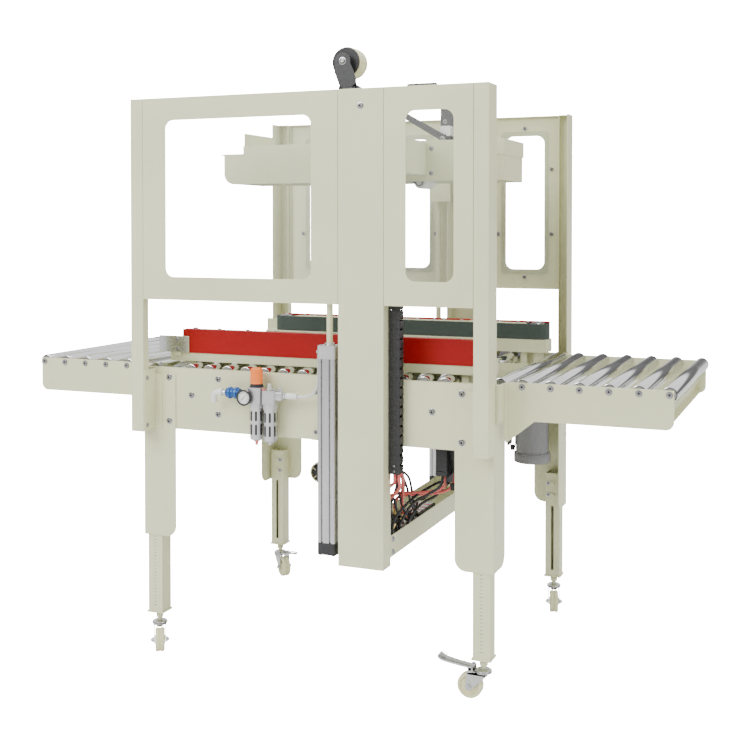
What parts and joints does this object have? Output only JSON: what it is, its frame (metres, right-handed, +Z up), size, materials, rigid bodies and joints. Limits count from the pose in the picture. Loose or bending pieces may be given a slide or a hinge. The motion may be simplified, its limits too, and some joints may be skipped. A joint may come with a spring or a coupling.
{
  "type": "carton sealer machine",
  "caption": "Side-belt carton sealer: roller bed with tables, guarded lifting tape head, two side drive belts, pneumatic lift, on height-adjustable legs with swivel casters.",
  "frame": {"origin": "on the floor, midway between the guard's four corner posts, 12 mm from the middle of the bounding box because the outfeed table is longer than the infeed table", "axes": "+X along the conveyor from infeed to outfeed, +Y across it from the near side (air unit) to the far side, +Z up"},
  "size_m": [1.818, 0.8986, 1.677],
  "materials": {
    "powder_coat": "satin cream-grey powder coat",
    "clear_sheet": "clear smooth acrylic sheet",
    "plated_steel": "bright zinc-plated steel",
    "cast_alloy": "satin extruded and cast aluminium",
    "valve_alloy": "satin aluminium with black coils",
    "orange_plastic": "satin orange plastic",
    "blue_alloy": "blue anodised aluminium",
    "black_plastic": "matt black plastic",
    "air_tube": "glossy air tube, coral and clear",
    "red_paint": "satin red paint",
    "green_belt": "matt dark green belting",
    "motor_paint": "satin grey paint",
    "dark_paint": "satin charcoal paint",
    "cream_plastic": "satin cream plastic",
    "cream_nylon": "satin cream nylon"
  },
  "bodies": {
    "legs": {"leg_tubes": "powder_coat"},
    "frame": {"guard_posts": "powder_coat", "guard_panel_near_infeed": "powder_coat", "guard_panel_near_outfeed": "powder_coat", "guard_panels_far": "powder_coat", "window_panes": "clear_sheet", "column_near": "powder_coat", "column_far": "powder_coat", "bed_sides": "powder_coat", "bed_frame": "powder_coat", "bed_rollers": "plated_steel", "leg_brackets": "powder_coat", "guard_brackets": "powder_coat", "base_tray": "powder_coat", "frame_bolts": "plated_steel", "table_infeed": "powder_coat", "table_outfeed": "powder_coat", "table_rollers": "plated_steel", "slide_rods": "plated_steel", "air_unit": "cast_alloy", "valve_block": "valve_alloy", "control_box": "black_plastic", "lift_cylinders": "cast_alloy", "cable_chain": "black_plastic", "air_hoses": "air_tube", "bottom_cartridge": "dark_paint"},
    "head": {"head_frame": "powder_coat", "lift_carriage": "powder_coat", "top_cartridge": "dark_paint", "reel_bracket": "dark_paint"},
    "top_apply": {"top_apply_arm": "dark_paint"},
    "top_buff": {"top_buff_arm": "dark_paint"},
    "top_roll_holder": {"top_mandrel": "cream_plastic"},
    "bottom_apply": {"bottom_apply_arm": "dark_paint"},
    "bottom_buff": {"bottom_buff_arm": "dark_paint"},
    "bottom_roll_holder": {"bottom_mandrel": "cream_plastic"},
    "pressure_knob": {"regulator_knob": "orange_plastic"},
    "air_shutoff": {"slide_valve": "blue_alloy"},
    "belt_unit_near": {"belt_carrier_near": "powder_coat", "belt_cover_near": "red_paint", "side_belt_near": "green_belt", "gear_motor_near": "motor_paint"},
    "drive_near": {"drive_pulley_near": "plated_steel"},
    "idler_near": {"idle_pulley_near": "plated_steel"},
    "belt_unit_far": {"belt_carrier_far": "powder_coat", "belt_cover_far": "red_paint", "side_belt_far": "green_belt", "gear_motor_far": "motor_paint"},
    "drive_far": {"drive_pulley_far": "plated_steel"},
    "idler_far": {"idle_pulley_far": "plated_steel"},
    "swivel_near_infeed": {"caster_fork_near_infeed": "plated_steel"},
    "wheel_near_infeed": {"caster_wheel_near_infeed": "cream_nylon"},
    "swivel_near_outfeed": {"caster_fork_near_outfeed": "plated_steel"},
    "wheel_near_outfeed": {"caster_wheel_near_outfeed": "cream_nylon"},
    "brake_near_outfeed": {"brake_pedal_near_outfeed": "plated_steel"},
    "swivel_far_infeed": {"caster_fork_far_infeed": "plated_steel"},
    "wheel_far_infeed": {"caster_wheel_far_infeed": "cream_nylon"},
    "brake_far_infeed": {"brake_pedal_far_infeed": "plated_steel"},
    "swivel_far_outfeed": {"caster_fork_far_outfeed": "plated_steel"},
    "wheel_far_outfeed": {"caster_wheel_far_outfeed": "cream_nylon"}
  },
  "joints": [
    {"name": "leg_height", "type": "slide", "parent": "legs", "child": "frame", "axis": [0, 0, 1], "range_m": [0, 0.08]},
    {"name": "head_height", "type": "slide", "parent": "frame", "child": "head", "axis": [0, 0, 1], "range_m": [-0.36, 0]},
    {"name": "top_apply", "type": "hinge", "parent": "head", "child": "top_apply", "pos_m": [-0.04, 0, 1.345], "axis": [0, 1, 0], "range_deg": [0, 30], "stiffness_Nm_per_rad": 20, "springref_deg": -11.46},
    {"name": "top_buff", "type": "hinge", "parent": "head", "child": "top_buff", "pos_m": [0.08, 0, 1.345], "axis": [0, 1, 0], "range_deg": [-30, 0]},
    {"name": "top_roll", "type": "hinge", "parent": "head", "child": "top_roll_holder", "pos_m": [-0.055, 0, 1.632], "axis": [0, 1, 0], "continuous": true},
    {"name": "bottom_apply", "type": "hinge", "parent": "frame", "child": "bottom_apply", "pos_m": [-0.04, 0, 0.72], "axis": [0, 1, 0], "range_deg": [-30, 0], "stiffness_Nm_per_rad": 20, "springref_deg": 20.05},
    {"name": "bottom_buff", "type": "hinge", "parent": "frame", "child": "bottom_buff", "pos_m": [0.08, 0, 0.72], "axis": [0, 1, 0], "range_deg": [0, 30]},
    {"name": "bottom_roll", "type": "hinge", "parent": "frame", "child": "bottom_roll_holder", "pos_m": [-0.14, 0, 0.44], "axis": [0, 1, 0], "continuous": true},
    {"name": "pressure_turn", "type": "hinge", "parent": "frame", "child": "pressure_knob", "pos_m": [-0.134, -0.417, 0.76], "axis": [0, 0, 1], "range_deg": [-150, 150]},
    {"name": "shutoff_slide", "type": "slide", "parent": "frame", "child": "air_shutoff", "axis": [1, 0, 0], "range_m": [-0.012, 0]},
    {"name": "belts_near", "type": "slide", "parent": "frame", "child": "belt_unit_near", "axis": [0, 1, 0], "range_m": [-0.03, 0.1]},
    {"name": "drive_near", "type": "hinge", "parent": "belt_unit_near", "child": "drive_near", "pos_m": [0.436, -0.282, 0.8], "axis": [0, 0, 1], "continuous": true},
    {"name": "idler_near", "type": "hinge", "parent": "belt_unit_near", "child": "idler_near", "pos_m": [-0.398, -0.282, 0.85], "axis": [0, 0, 1], "continuous": true},
    {"name": "belts_far", "type": "slide", "parent": "frame", "child": "belt_unit_far", "axis": [0, 1, 0], "range_m": [-0.1, 0.03]},
    {"name": "drive_far", "type": "hinge", "parent": "belt_unit_far", "child": "drive_far", "pos_m": [0.436, 0.282, 0.8], "axis": [0, 0, 1], "continuous": true},
    {"name": "idler_far", "type": "hinge", "parent": "belt_unit_far", "child": "idler_far", "pos_m": [-0.398, 0.282, 0.85], "axis": [0, 0, 1], "continuous": true},
    {"name": "swivel_near_infeed", "type": "hinge", "parent": "legs", "child": "swivel_near_infeed", "pos_m": [-0.465, -0.364, 0.07], "axis": [0, 0, 1], "continuous": true},
    {"name": "wheel_near_infeed", "type": "hinge", "parent": "swivel_near_infeed", "child": "wheel_near_infeed", "pos_m": [-0.44648, -0.39252, 0.032], "axis": [-0.8387, -0.5446, 0], "continuous": true},
    {"name": "swivel_near_outfeed", "type": "hinge", "parent": "legs", "child": "swivel_near_outfeed", "pos_m": [0.465, -0.364, 0.07], "axis": [0, 0, 1], "continuous": true},
    {"name": "wheel_near_outfeed", "type": "hinge", "parent": "swivel_near_outfeed", "child": "wheel_near_outfeed", "pos_m": [0.431, -0.364, 0.032], "axis": [0, 1, 0], "continuous": true},
    {"name": "brake_near_outfeed", "type": "hinge", "parent": "swivel_near_outfeed", "child": "brake_near_outfeed", "pos_m": [0.435, -0.364, 0.076], "axis": [0, 1, 0], "range_deg": [-12, 0]},
    {"name": "swivel_far_infeed", "type": "hinge", "parent": "legs", "child": "swivel_far_infeed", "pos_m": [-0.465, 0.364, 0.07], "axis": [0, 0, 1], "continuous": true},
    {"name": "wheel_far_infeed", "type": "hinge", "parent": "swivel_far_infeed", "child": "wheel_far_infeed", "pos_m": [-0.43973, 0.34125, 0.032], "axis": [-0.6691, -0.7431, 0], "continuous": true},
    {"name": "brake_far_infeed", "type": "hinge", "parent": "swivel_far_infeed", "child": "brake_far_infeed", "pos_m": [-0.44271, 0.34393, 0.076], "axis": [-0.6691, -0.7431, 0], "range_deg": [-12, 0]},
    {"name": "swivel_far_outfeed", "type": "hinge", "parent": "legs", "child": "swivel_far_outfeed", "pos_m": [0.465, 0.364, 0.07], "axis": [0, 0, 1], "continuous": true},
    {"name": "wheel_far_outfeed", "type": "hinge", "parent": "swivel_far_outfeed", "child": "wheel_far_outfeed", "pos_m": [0.47323, 0.33101, 0.032], "axis": [-0.9703, -0.2419, 0], "continuous": true}
  ],
  "couplings": [
    {"joint": "top_buff", "follows": "top_apply", "ratio": -1},
    {"joint": "bottom_buff", "follows": "bottom_apply", "ratio": -1},
    {"joint": "belts_far", "follows": "belts_near", "ratio": -1},
    {"joint": "idler_near", "follows": "drive_near", "ratio": 1},
    {"joint": "idler_far", "follows": "drive_far", "ratio": 1}
  ]
}
